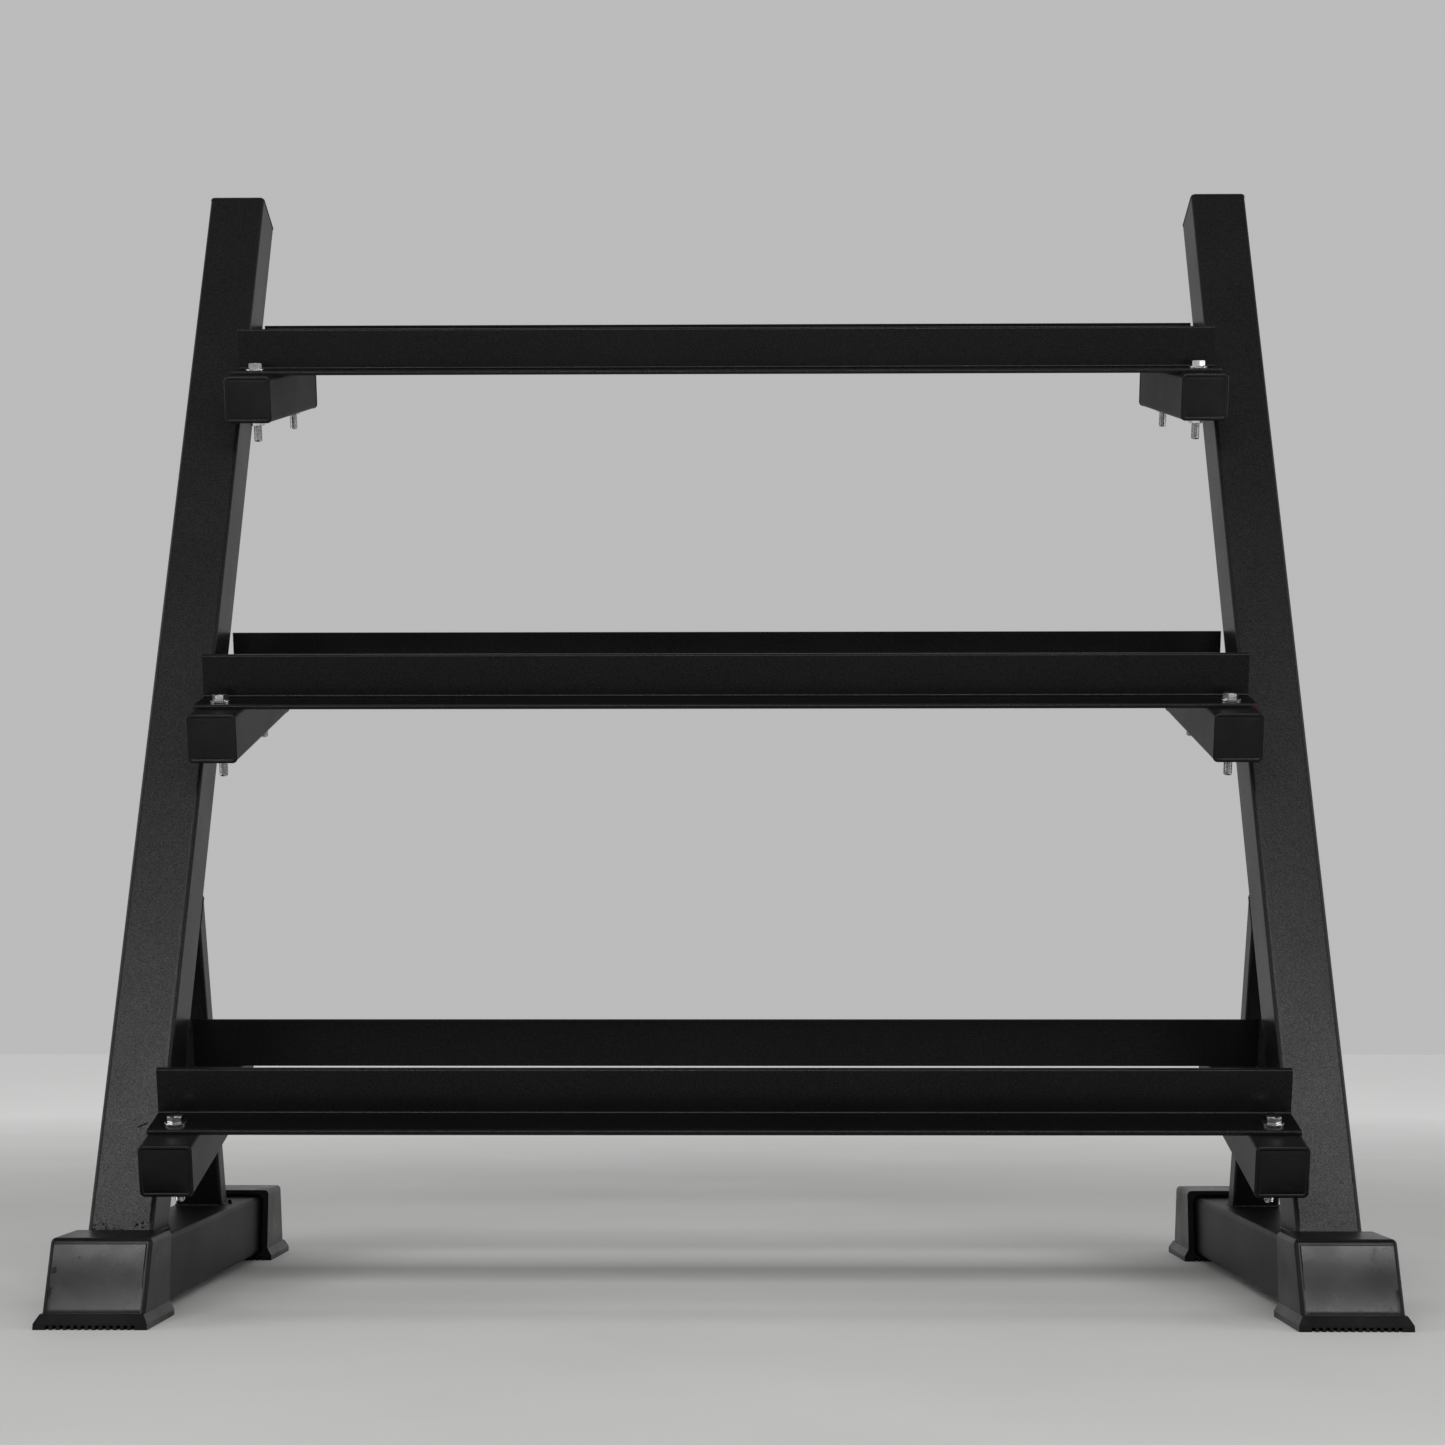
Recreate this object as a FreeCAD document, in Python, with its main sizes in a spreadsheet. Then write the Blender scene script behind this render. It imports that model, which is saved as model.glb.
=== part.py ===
import FreeCAD, Part
import math
import os
import Sketcher

# Three-tier dumbbell rack. Millimetres, +Z up, the front faces -Y.
# Origin: on the floor, at the centre of the footprint.
DIMENSIONS = [
    # base tube, lying front to back under each side frame
    ("base_width", 76.2),
    ("base_height", 63.5),
    ("base_length", 576.0),
    ("base_lift", 8.0),
    ("base_offset", 572.7),
    # leaning upright, square tube
    ("upright_size", 63.5),
    ("upright_lean", 18.0),
    ("upright_length", 1236.0),
    ("upright_inner", 554.0),
    ("upright_foot", -183.0),
    # rear brace, flat tube
    ("brace_width", 50.8),
    ("brace_depth", 25.4),
    ("brace_rake", 23.75),
    ("brace_length", 352.0),
    ("brace_foot", 112.5),
    # tilted arms, square tube
    ("arm_size", 50.8),
    ("arm_length", 271.0),
    ("arm_tilt", 18.0),
    ("arm_reach", 91.0),
    ("tier_low", 159.9),
    ("tier_mid", 588.3),
    ("tier_top", 980.0),
    # wall and corner radius shared by all tubes
    ("tube_wall", 3.0),
    ("tube_radius", 5.0),
    ("brace_radius", 3.5),
    # equal-leg angle rails
    ("rail_length", 1105.0),
    ("rail_leg", 50.0),
    ("rail_thickness", 4.8),
    ("rail_root", 2.5),
    ("front_heel", 77.0),
    ("rear_heel", 220.5),
    ("rail_gauge", 31.0),
    # hardware
    ("hole_diameter", 10.5),
    ("bolt_diameter", 9.5),
    ("bolt_flats", 14.3),
    ("bolt_head", 6.4),
    ("bolt_tail", 24.0),
    ("washer_outer", 22.0),
    ("washer_thickness", 2.0),
    ("nut_height", 6.0),
    ("thread_gap", 0.1),
    # plastic tube caps
    ("cap_flange", 2.5),
    ("cap_proud", 0.5),
    ("cap_plug", 12.0),
    ("cap_clearance", 0.3),
    # moulded foot boots
    ("boot_width", 94.5),
    ("boot_height", 79.0),
    ("boot_cover", 66.0),
    ("boot_end", 5.0),
    ("boot_slope", 24.0),
    ("boot_radius", 5.0),
    ("boot_lip", 2.8),
    ("skirt_height", 13.5),
    ("skirt_band", 5.5),
    ("skirt_flare", 4.8),
    ("sole_groove", 3.2),
    ("sole_pitch", 6.5),
    ("sole_depth", 4.0),
]

SIDES = (("left", -1), ("right", 1))
TIERS = (("low", "tier_low"), ("mid", "tier_mid"), ("top", "tier_top"))


def make_table(doc):
    table = doc.addObject("Spreadsheet::Sheet", "Dims")
    for row, (name, value) in enumerate(DIMENSIONS, start=1):
        table.set("A%d" % row, name)
        table.set("B%d" % row, str(value))
        table.setAlias("B%d" % row, name)
    doc.recompute()
    return table


def vec(x, y, z=0.0):
    return FreeCAD.Vector(x, y, z)


def make_body(doc, label):
    body = doc.addObject("PartDesign::Body", label)
    body.Label = label
    return body


def origin_plane(body, role):
    for feature in body.Origin.OriginFeatures:
        if feature.Role == role:
            return feature
    raise ValueError("no plane %s" % role)


def make_sketch(body, name, role):
    sketch = body.newObject("Sketcher::SketchObject", name)
    sketch.AttachmentSupport = [(origin_plane(body, role), "")]
    sketch.MapMode = "FlatFace"
    return sketch


def add_pad(body, name, sketch, length, reverse=False, middle=False):
    pad = body.newObject("PartDesign::Pad", name)
    pad.Profile = sketch
    pad.setExpression("Length", length)
    pad.Reversed = reverse
    pad.Midplane = middle
    sketch.Visibility = False
    return pad


def add_through_cut(body, name, sketch):
    cut = body.newObject("PartDesign::Pocket", name)
    cut.Profile = sketch
    cut.Type = 1
    cut.Midplane = True
    sketch.Visibility = False
    return cut


def drive(sketch, name, index, expression):
    sketch.renameConstraint(index, name)
    sketch.setExpression("Constraints." + name, expression)


def pin_point(sketch, name, geo, pos, x, y):
    """Hold a sketch point at x, y, each given as (starting value, expression)."""
    for axis, (value, expression) in (("X", x), ("Y", y)):
        if expression is None:
            on_axis = -2 if axis == "X" else -1
            sketch.addConstraint(Sketcher.Constraint("PointOnObject", geo, pos, on_axis))
            continue
        kind = "Distance" + axis
        index = sketch.addConstraint(Sketcher.Constraint(kind, -1, 1, geo, pos, value))
        drive(sketch, name + axis, index, expression)


def add_polygon(sketch, name, corners):
    """Closed polygon; every corner is ((x value, x expression), (y value, y expression))."""
    count = len(corners)
    first = sketch.GeometryCount
    for i in range(count):
        a, b = corners[i], corners[(i + 1) % count]
        start, end = vec(a[0][0], a[1][0]), vec(b[0][0], b[1][0])
        sketch.addGeometry(Part.LineSegment(start, end), False)
    for i in range(count):
        here, after = first + i, first + (i + 1) % count
        sketch.addConstraint(Sketcher.Constraint("Coincident", here, 2, after, 1))
    for i, (x, y) in enumerate(corners):
        pin_point(sketch, "%s%d" % (name, i), first + i, 1, x, y)


def add_round_rectangle(sketch, name, size, expressions):
    """Rounded rectangle centred on the sketch origin; size is (width, height, radius)."""
    width, height, radius = size
    x, y = width / 2 - radius, height / 2 - radius
    corners = ((x, y, 0), (-x, y, 90), (-x, -y, 180), (x, -y, 270))
    first = sketch.GeometryCount
    for cx, cy, start in corners:
        circle = Part.Circle(vec(cx, cy), vec(0, 0, 1), radius)
        arc = Part.ArcOfCircle(circle, math.radians(start), math.radians(start + 90))
        sketch.addGeometry(arc, False)
    ends = [sketch.getPoint(first + i, p) for i in range(4) for p in (1, 2)]
    for i in range(4):
        sketch.addGeometry(Part.LineSegment(ends[2 * i + 1], ends[(2 * i + 2) % 8]), False)
    for i in range(4):
        line = first + 4 + i
        sketch.addConstraint(Sketcher.Constraint("Tangent", first + i, 2, line, 1))
        sketch.addConstraint(Sketcher.Constraint("Tangent", line, 2, first + (i + 1) % 4, 1))
    top, left = first + 4, first + 5
    sketch.addConstraint(Sketcher.Constraint("Horizontal", top))
    sketch.addConstraint(Sketcher.Constraint("Vertical", left))
    for i in (1, 2, 3):
        sketch.addConstraint(Sketcher.Constraint("Equal", first, first + i))
    centres = Sketcher.Constraint("Symmetric", first, 3, first + 2, 3, -1, 1)
    sketch.addConstraint(centres)
    wide = sketch.addConstraint(Sketcher.Constraint("DistanceX", first + 1, 3, first, 3, 2 * x))
    tall = sketch.addConstraint(Sketcher.Constraint("DistanceY", first + 3, 3, first, 3, 2 * y))
    bend = sketch.addConstraint(Sketcher.Constraint("Radius", first, radius))
    drive(sketch, name + "Wide", wide, "%s - 2 * (%s)" % (expressions[0], expressions[2]))
    drive(sketch, name + "Tall", tall, "%s - 2 * (%s)" % (expressions[1], expressions[2]))
    drive(sketch, name + "Bend", bend, expressions[2])


def tube_section(body, dims, role, width, height, radius):
    """Hollow tube section centred on the body axis."""
    sketch = make_sketch(body, body.Label + "_section", role)
    wide, tall, bend = (dims.get(n) for n in (width, height, radius))
    wall = dims.get("tube_wall")
    outer = ["Dims." + n for n in (width, height, radius)]
    inner = [outer[0] + " - 2 * Dims.tube_wall", outer[1] + " - 2 * Dims.tube_wall"]
    inner.append(outer[2] + " - Dims.tube_wall")
    add_round_rectangle(sketch, "outer", (wide, tall, bend), outer)
    add_round_rectangle(sketch, "inner", (wide - 2 * wall, tall - 2 * wall, bend - wall), inner)
    return sketch


def hole_sketch(body, dims, role, centres):
    """Clearance holes; each centre is ((x value, expression), (y value, expression))."""
    bore = dims.get("hole_diameter")
    sketch = make_sketch(body, body.Label + "_holes", role)
    for i, (x, y) in enumerate(centres):
        sketch.addGeometry(Part.Circle(vec(x[0], y[0]), vec(0, 0, 1), bore / 2), False)
        pin_point(sketch, "hole%d" % i, i, 3, x, y)
        index = sketch.addConstraint(Sketcher.Constraint("Diameter", i, bore))
        drive(sketch, "bore%d" % i, index, "Dims.hole_diameter")
    return sketch


def place(obj, x, y, z, tilt):
    """Bind the position and the turn about X of an object to the table."""
    for axis, expression in zip("xyz", (x, y, z)):
        if expression is not None:
            obj.setExpression(".Placement.Base." + axis, expression)
    if tilt is not None:
        obj.Placement.Rotation = FreeCAD.Rotation(vec(1, 0, 0), 1.0)
        obj.setExpression(".Placement.Rotation.Angle", tilt)


def signed(side, expression):
    return "%d * (%s)" % (side, expression)


def tier_point(height):
    """Front top corner line of the arms of one tier, as y and z expressions."""
    rise = "(Dims.%s - Dims.base_lift - Dims.base_height)" % height
    y = "Dims.upright_foot + %s * tan(Dims.upright_lean * 1 deg) - Dims.arm_reach" % rise
    return y, "Dims." + height


def place_on_tier(obj, height, x=None):
    y, z = tier_point(height)
    place(obj, x, y, z, "Dims.arm_tilt * 1 deg")


def base_tube(doc, dims, side_name, side):
    body = make_body(doc, "base_tube_" + side_name)
    section = tube_section(body, dims, "XZ_Plane", "base_width", "base_height", "tube_radius")
    add_pad(body, "base_length_" + side_name, section, "Dims.base_length", middle=True)
    z = "Dims.base_lift + Dims.base_height / 2"
    place(body, signed(side, "Dims.base_offset"), None, z, None)
    return body


def level_cut(body, name, points):
    sketch = make_sketch(body, name + "_sketch", "YZ_Plane")
    add_polygon(sketch, "edge", points)
    return add_through_cut(body, name, sketch)


def upright(doc, dims, side_name, side):
    body = make_body(doc, "upright_" + side_name)
    size = dims.get("upright_size")
    section = tube_section(body, dims, "XY_Plane", "upright_size", "upright_size", "tube_radius")
    add_pad(body, "upright_length_" + side_name, section, "Dims.upright_length")
    reach = "Dims.upright_size"
    lean = "tan(Dims.upright_lean * 1 deg)"
    slope = math.tan(math.radians(dims.get("upright_lean")))
    rise = "%s * %s" % (reach, lean)
    # the start of the tube lies below the level cut by half the tube times the lean
    lift = "Dims.upright_size / 2 * %s" % lean
    low = size / 2 * slope - size * slope
    high = size / 2 * slope + size * slope
    points = [
        ((-size, "-" + reach), (low, "%s - %s" % (lift, rise))),
        ((size, reach), (high, "%s + %s" % (lift, rise))),
        ((size, reach), (-size, "-" + reach)),
        ((-size, "-" + reach), (-size, "-" + reach)),
    ]
    level_cut(body, "upright_foot_" + side_name, points)
    half = "Dims.upright_size / 2"
    x = signed(side, "Dims.upright_inner + " + half)
    angle = "Dims.upright_lean * 1 deg"
    y = "Dims.upright_foot + %s / cos(%s) - %s * sin(%s)" % (half, angle, "(" + lift + ")", angle)
    z = "Dims.base_lift + Dims.base_height - (%s) * cos(%s)" % (lift, angle)
    place(body, x, y, z, "-" + angle)
    return body


def brace_trim(doc, body, dims, side_name):
    """Level foot and a top end cut to lie against the rear of the upright."""
    deep = dims.get("brace_depth")
    rake = math.radians(dims.get("brace_rake"))
    lean = math.radians(dims.get("upright_lean"))
    span = "Dims.brace_depth"
    foot = "tan(Dims.brace_rake * 1 deg)"
    head = "tan((90 - Dims.brace_rake - Dims.upright_lean) * 1 deg)"
    length = dims.get("brace_length")
    top = math.tan(math.pi / 2 - rake - lean)
    lift = deep / 2 * math.tan(rake)
    level = [
        ((-deep, "-" + span), (lift + deep * math.tan(rake), "1.5 * %s * %s" % (span, foot))),
        ((deep, span), (lift - deep * math.tan(rake), "-0.5 * %s * %s" % (span, foot))),
        ((deep, span), (-2 * deep, "-2 * " + span)),
        ((-deep, "-" + span), (-2 * deep, "-2 * " + span)),
    ]
    level_cut(body, "brace_foot_" + side_name, level)
    start = "Dims.brace_length"
    upper = [
        ((-deep, "-" + span), (length - deep * top, "%s - %s * %s" % (start, span, head))),
        ((deep, span), (length + deep * top, "%s + %s * %s" % (start, span, head))),
        ((deep, span), (length * 1.5, "1.5 * " + start)),
        ((-deep, "-" + span), (length * 1.5, "1.5 * " + start)),
    ]
    level_cut(body, "brace_head_" + side_name, upper)


def rear_brace(doc, dims, side_name, side):
    body = make_body(doc, "rear_brace_" + side_name)
    section = tube_section(body, dims, "XY_Plane", "brace_width", "brace_depth", "brace_radius")
    add_pad(body, "brace_length_" + side_name, section, "Dims.brace_length + 2 * Dims.brace_depth")
    brace_trim(doc, body, dims, side_name)
    angle = "Dims.brace_rake * 1 deg"
    half = "Dims.brace_depth / 2"
    lift = "(%s * tan(%s))" % (half, angle)
    x = signed(side, "Dims.upright_inner + Dims.brace_width / 2")
    y = "Dims.brace_foot + %s / cos(%s) + %s * sin(%s)" % (half, angle, lift, angle)
    z = "Dims.base_lift + Dims.base_height - %s * cos(%s)" % (lift, angle)
    place(body, x, y, z, angle)
    return body


def tube_cap(doc, dims, label, size, radius):
    """Plastic cap: a flange over the tube end and a plug inside it. Flange faces +Z."""
    body = make_body(doc, label)
    wide, bend = dims.get(size), dims.get(radius)
    proud = dims.get("cap_proud")
    flange = make_sketch(body, label + "_flange", "XY_Plane")
    over = "Dims.%s + 2 * Dims.cap_proud" % size
    corner = "Dims.%s + Dims.cap_proud" % radius
    width = wide + 2 * proud
    add_round_rectangle(flange, "rim", (width, width, bend + proud), (over, over, corner))
    add_pad(body, label + "_plate", flange, "Dims.cap_flange")
    plug = make_sketch(body, label + "_plug_sketch", "XY_Plane")
    slack = "(Dims.tube_wall + Dims.cap_clearance)"
    inner = "Dims.%s - 2 * %s" % (size, slack)
    narrow = wide - 2 * (dims.get("tube_wall") + dims.get("cap_clearance"))
    fit = "Dims.%s - Dims.tube_wall" % radius
    snug = bend - dims.get("tube_wall")
    add_round_rectangle(plug, "plug", (narrow, narrow, snug), (inner, inner, fit))
    hollow = "%s - 2 * Dims.cap_flange" % inner
    hole = narrow - 2 * dims.get("cap_flange")
    add_round_rectangle(plug, "void", (hole, hole, snug), (hollow, hollow, fit))
    add_pad(body, label + "_plug", plug, "Dims.cap_plug", reverse=True)
    return body


def upright_cap(doc, dims, side_name, side):
    body = tube_cap(doc, dims, "upright_cap_" + side_name, "upright_size", "tube_radius")
    angle = "Dims.upright_lean * 1 deg"
    half = "Dims.upright_size / 2"
    run = "(Dims.upright_length - %s * tan(%s))" % (half, angle)
    x = signed(side, "Dims.upright_inner + " + half)
    y = "Dims.upright_foot + %s / cos(%s) + %s * sin(%s)" % (half, angle, run, angle)
    z = "Dims.base_lift + Dims.base_height + %s * cos(%s)" % (run, angle)
    place(body, x, y, z, "-" + angle)
    return body


def arm(doc, dims, side_name, side, tier, height):
    label = "arm_%s_%s" % (tier, side_name)
    body = make_body(doc, label)
    section = tube_section(body, dims, "XZ_Plane", "arm_size", "arm_size", "tube_radius")
    drop = -dims.get("arm_size") / 2
    section.AttachmentOffset = FreeCAD.Placement(vec(0, drop), FreeCAD.Rotation())
    section.setExpression(".AttachmentOffset.Base.y", "-Dims.arm_size / 2")
    add_pad(body, label + "_length", section, "Dims.arm_length", reverse=True)
    front = "Dims.front_heel - Dims.rail_gauge"
    rear = "Dims.rear_heel + Dims.rail_gauge"
    gauge = dims.get("rail_gauge")
    rows = ((dims.get("front_heel") - gauge, front), (dims.get("rear_heel") + gauge, rear))
    centres = [((0, None), row) for row in rows]
    add_through_cut(body, label + "_bores", hole_sketch(body, dims, "XY_Plane", centres))
    place_on_tier(body, height, signed(side, "Dims.upright_inner - Dims.arm_size / 2"))
    return body


def arm_cap(doc, dims, side_name, side, tier, height, end):
    label = "arm_cap_%s_%s_%s" % (end, tier, side_name)
    body = tube_cap(doc, dims, label, "arm_size", "tube_radius")
    y, z = tier_point(height)
    tilt = "Dims.arm_tilt * 1 deg"
    down = "Dims.arm_size / 2"
    run = "0 * Dims.arm_size" if end == "front" else "Dims.arm_length"
    y = "%s + %s * cos(%s) + %s * sin(%s)" % (y, run, tilt, down, tilt)
    z = "%s + %s * sin(%s) - %s * cos(%s)" % (z, run, tilt, down, tilt)
    turn = "90 deg + " + tilt if end == "front" else tilt + " - 90 deg"
    place(body, signed(side, "Dims.upright_inner - Dims.arm_size / 2"), y, z, turn)
    return body


def rail_section(body, dims, heel, way):
    """L section: vertical leg at the heel, flat leg running forward or back on the arms."""
    sketch = make_sketch(body, body.Label + "_section", "YZ_Plane")
    leg, thick = dims.get("rail_leg"), dims.get("rail_thickness")
    start = dims.get(heel)
    heel_y = (start, "Dims." + heel)
    inner_y = (start + way * thick, "Dims.%s + %d * Dims.rail_thickness" % (heel, way))
    toe_y = (start + way * leg, "Dims.%s + %d * Dims.rail_leg" % (heel, way))
    thick_z = (thick, "Dims.rail_thickness")
    leg_z = (leg, "Dims.rail_leg")
    floor_z = (0.0, None)
    corners = [(heel_y, floor_z), (toe_y, floor_z), (toe_y, thick_z)]
    corners += [(inner_y, thick_z), (inner_y, leg_z), (heel_y, leg_z)]
    add_polygon(sketch, "corner", corners)
    return sketch


def edges_along_x(shape, y, z):
    names = []
    for index, edge in enumerate(shape.Edges, start=1):
        ends = [v.Point for v in edge.Vertexes]
        if len(ends) != 2 or abs(ends[0].x - ends[1].x) < 100:
            continue
        middle = edge.CenterOfMass
        if abs(middle.y - y) < 0.01 and abs(middle.z - z) < 0.01:
            names.append("Edge%d" % index)
    return names


def round_edges(body, name, base, edges, radius):
    fillet = body.newObject("PartDesign::Fillet", name)
    fillet.Base = (base, edges)
    fillet.setExpression("Radius", radius)
    return fillet


def rail(doc, dims, tier, height, end):
    label = "rail_%s_%s" % (end, tier)
    way = -1 if end == "front" else 1
    heel = end + "_heel"
    body = make_body(doc, label)
    section = rail_section(body, dims, heel, way)
    pad = add_pad(body, label + "_length", section, "Dims.rail_length", middle=True)
    doc.recompute()
    thick, leg, start = (dims.get(n) for n in ("rail_thickness", "rail_leg", heel))
    inside = edges_along_x(pad.Shape, start + way * thick, thick)
    root = round_edges(body, label + "_root", pad, inside, "Dims.rail_root")
    doc.recompute()
    toes = edges_along_x(root.Shape, start + way * leg, thick)
    toes += edges_along_x(root.Shape, start + way * thick, leg)
    round_edges(body, label + "_toes", root, toes, "Dims.rail_thickness / 2")
    bolt_x = dims.get("upright_inner") - dims.get("arm_size") / 2
    across = "Dims.upright_inner - Dims.arm_size / 2"
    row = start + way * dims.get("rail_gauge")
    along = (row, "Dims.%s + %d * Dims.rail_gauge" % (heel, way))
    centres = [((s * bolt_x, signed(s, across)), along) for _, s in SIDES]
    add_through_cut(body, label + "_bores", hole_sketch(body, dims, "XY_Plane", centres))
    place_on_tier(body, height)
    return body


def bolt_spots():
    """The four bolt positions of one tier, as x and y expressions."""
    across = "Dims.upright_inner - Dims.arm_size / 2"
    rows = ("Dims.front_heel - Dims.rail_gauge", "Dims.rear_heel + Dims.rail_gauge")
    return [(signed(side, across), row) for _, side in SIDES for row in rows]


def add_cylinder(doc, name, spot, z, radius, height):
    shape = doc.addObject("Part::Cylinder", name)
    shape.setExpression("Radius", radius)
    shape.setExpression("Height", height)
    place(shape, spot[0], spot[1], z, None)
    return shape


def add_hexagon(doc, name, spot, z, flats, height):
    shape = doc.addObject("Part::Prism", name)
    shape.Polygon = 6
    shape.setExpression("Circumradius", flats + " / 2 / cos(30 deg)")
    shape.setExpression("Height", height)
    place(shape, spot[0], spot[1], z, None)
    return shape


def join(doc, name, shapes):
    fused = doc.addObject("Part::MultiFuse", name)
    fused.Shapes = shapes
    return fused


def drill(doc, name, outer, inner):
    cut = doc.addObject("Part::Cut", name)
    cut.Base = outer
    cut.Tool = inner
    return cut


def make_set(doc, label, pieces, height):
    group = doc.addObject("Part::Compound", label)
    group.Label = label
    group.Links = pieces
    place_on_tier(group, height)
    return group


def bolts(doc, tier, height):
    label = "bolts_" + tier
    pieces = []
    top = "Dims.rail_thickness + Dims.washer_thickness"
    under = "-Dims.arm_size - Dims.bolt_tail"
    for i, spot in enumerate(bolt_spots()):
        name = "%s_%d" % (label, i)
        head = add_hexagon(doc, name + "_head", spot, top, "Dims.bolt_flats", "Dims.bolt_head")
        long = "Dims.bolt_tail + Dims.arm_size + " + top + " + 1"
        shank = add_cylinder(doc, name + "_shank", spot, under, "Dims.bolt_diameter / 2", long)
        pieces.append(join(doc, name, [head, shank]))
    return make_set(doc, label, pieces, height)


def rings(doc, label, height, z, hexagonal):
    """Washers or nuts around the four bolts of one tier."""
    pieces = []
    bore = "Dims.bolt_diameter / 2 + Dims.thread_gap"
    for i, spot in enumerate(bolt_spots()):
        name = "%s_%d" % (label, i)
        if hexagonal:
            blank = add_hexagon(doc, name + "_blank", spot, z, "Dims.bolt_flats", "Dims.nut_height")
        else:
            outer = "Dims.washer_outer / 2"
            blank = add_cylinder(doc, name + "_blank", spot, z, outer, "Dims.washer_thickness")
        tool = add_cylinder(doc, name + "_bore", spot, z, bore, "Dims.nut_height")
        pieces.append(drill(doc, name, blank, tool))
    return make_set(doc, label, pieces, height)


def fasteners(doc, tier, height):
    washers = rings(doc, "washers_" + tier, height, "Dims.rail_thickness", False)
    nuts = rings(doc, "nuts_" + tier, height, "-Dims.arm_size - Dims.nut_height", True)
    return [bolts(doc, tier, height), washers, nuts]


def crown_edges(shape, tall):
    names = []
    for index, edge in enumerate(shape.Edges, start=1):
        box = edge.BoundBox
        along = box.YLength > 20 and box.ZLength < 1 and abs(box.ZMax - tall) < 0.01
        nose = box.XLength > 20 and abs(box.ZMin - tall) < 0.01 and box.YMax < 0
        rake = box.ZLength > 20 and box.YLength > 1
        if along or nose or rake:
            names.append("Edge%d" % index)
    return names


def skirt_edges(shape, skirt, half, nose):
    names = []
    for index, edge in enumerate(shape.Edges, start=1):
        box = edge.BoundBox
        if abs(box.ZMin - skirt) > 0.01 or abs(box.ZMax - skirt) > 0.01:
            continue
        side = box.XLength < 0.01 and abs(abs(box.XMin) - half) < 0.01
        front = box.YLength < 0.01 and abs(box.YMin - nose) < 0.01
        if side or front:
            names.append("Edge%d" % index)
    return names


def mouth_edges(shape, cover, reach):
    """Edges of the socket opening on the open face of a boot."""
    names = []
    for index, edge in enumerate(shape.Edges, start=1):
        box = edge.BoundBox
        on_mouth = abs(box.YMin - cover) < 0.01 and abs(box.YMax - cover) < 0.01
        inside = max(abs(box.XMin), abs(box.XMax)) < reach and box.ZMin > 1
        if on_mouth and inside:
            names.append("Edge%d" % index)
    return names


def boot_shell(doc, body, dims):
    """Block with a sloped nose and rounded crown, seen from the side in its profile."""
    label = body.Label
    tall, cover, wall = (dims.get(n) for n in ("boot_height", "boot_cover", "boot_end"))
    slope = dims.get("boot_slope")
    mouth = (cover, "Dims.boot_cover")
    profile = make_sketch(body, label + "_profile", "YZ_Plane")
    add_polygon(profile, "side", [
        (mouth, (0.0, None)),
        (mouth, (tall, "Dims.boot_height")),
        ((-wall, "-Dims.boot_end"), (tall, "Dims.boot_height")),
        ((-wall - slope, "-Dims.boot_end - Dims.boot_slope"), (0.0, None)),
    ])
    block = add_pad(body, label + "_block", profile, "Dims.boot_width", middle=True)
    doc.recompute()
    edges = crown_edges(block.Shape, tall)
    round_edges(body, label + "_crown", block, edges, "Dims.boot_radius")
    doc.recompute()


def boot_skirt(doc, body, dims):
    """Flared plate at the floor, bevelled on its three outer edges."""
    label = body.Label
    flare, skirt = dims.get("skirt_flare"), dims.get("skirt_height")
    mouth = (dims.get("boot_cover"), "Dims.boot_cover")
    half = (dims.get("boot_width") / 2 + flare, "Dims.boot_width / 2 + Dims.skirt_flare")
    other = (-half[0], "-(%s)" % half[1])
    toe = "-Dims.boot_end - Dims.boot_slope - Dims.skirt_flare"
    nose = (-dims.get("boot_end") - dims.get("boot_slope") - flare, toe)
    plan = make_sketch(body, label + "_plan", "XY_Plane")
    add_polygon(plan, "plan", [(half, mouth), (other, mouth), (other, nose), (half, nose)])
    plate = add_pad(body, label + "_skirt", plan, "Dims.skirt_height")
    doc.recompute()
    bevel = body.newObject("PartDesign::Chamfer", label + "_bevel")
    bevel.Base = (plate, skirt_edges(plate.Shape, skirt, half[0], nose[0]))
    bevel.ChamferType = 1
    bevel.setExpression("Size", "Dims.skirt_flare - 0.2")
    bevel.setExpression("Size2", "Dims.skirt_height - Dims.skirt_band")
    doc.recompute()


def boot_socket(doc, body, dims):
    """Pocket for the tube end, with a bevelled mouth."""
    label = body.Label
    slack = dims.get("cap_clearance")
    socket = make_sketch(body, label + "_socket_sketch", "XZ_Plane")
    rise = "Dims.base_lift + Dims.base_height / 2"
    middle = dims.get("base_lift") + dims.get("base_height") / 2
    socket.AttachmentOffset = FreeCAD.Placement(vec(0, middle), FreeCAD.Rotation())
    socket.setExpression(".AttachmentOffset.Base.y", rise)
    size = [dims.get(n) + 2 * slack for n in ("base_width", "base_height")]
    names = ["Dims.%s + 2 * Dims.cap_clearance" % n for n in ("base_width", "base_height")]
    radius = dims.get("tube_radius") + slack
    bend = "Dims.tube_radius + Dims.cap_clearance"
    add_round_rectangle(socket, "room", (size[0], size[1], radius), (names[0], names[1], bend))
    pocket = body.newObject("PartDesign::Pocket", label + "_socket")
    pocket.Profile = socket
    pocket.setExpression("Length", "Dims.boot_cover + 10")
    socket.Visibility = False
    doc.recompute()
    lip = body.newObject("PartDesign::Chamfer", label + "_lip")
    lip.Base = (pocket, mouth_edges(pocket.Shape, dims.get("boot_cover"), size[0] / 2 + 0.1))
    lip.setExpression("Size", "Dims.boot_lip")
    doc.recompute()


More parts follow.
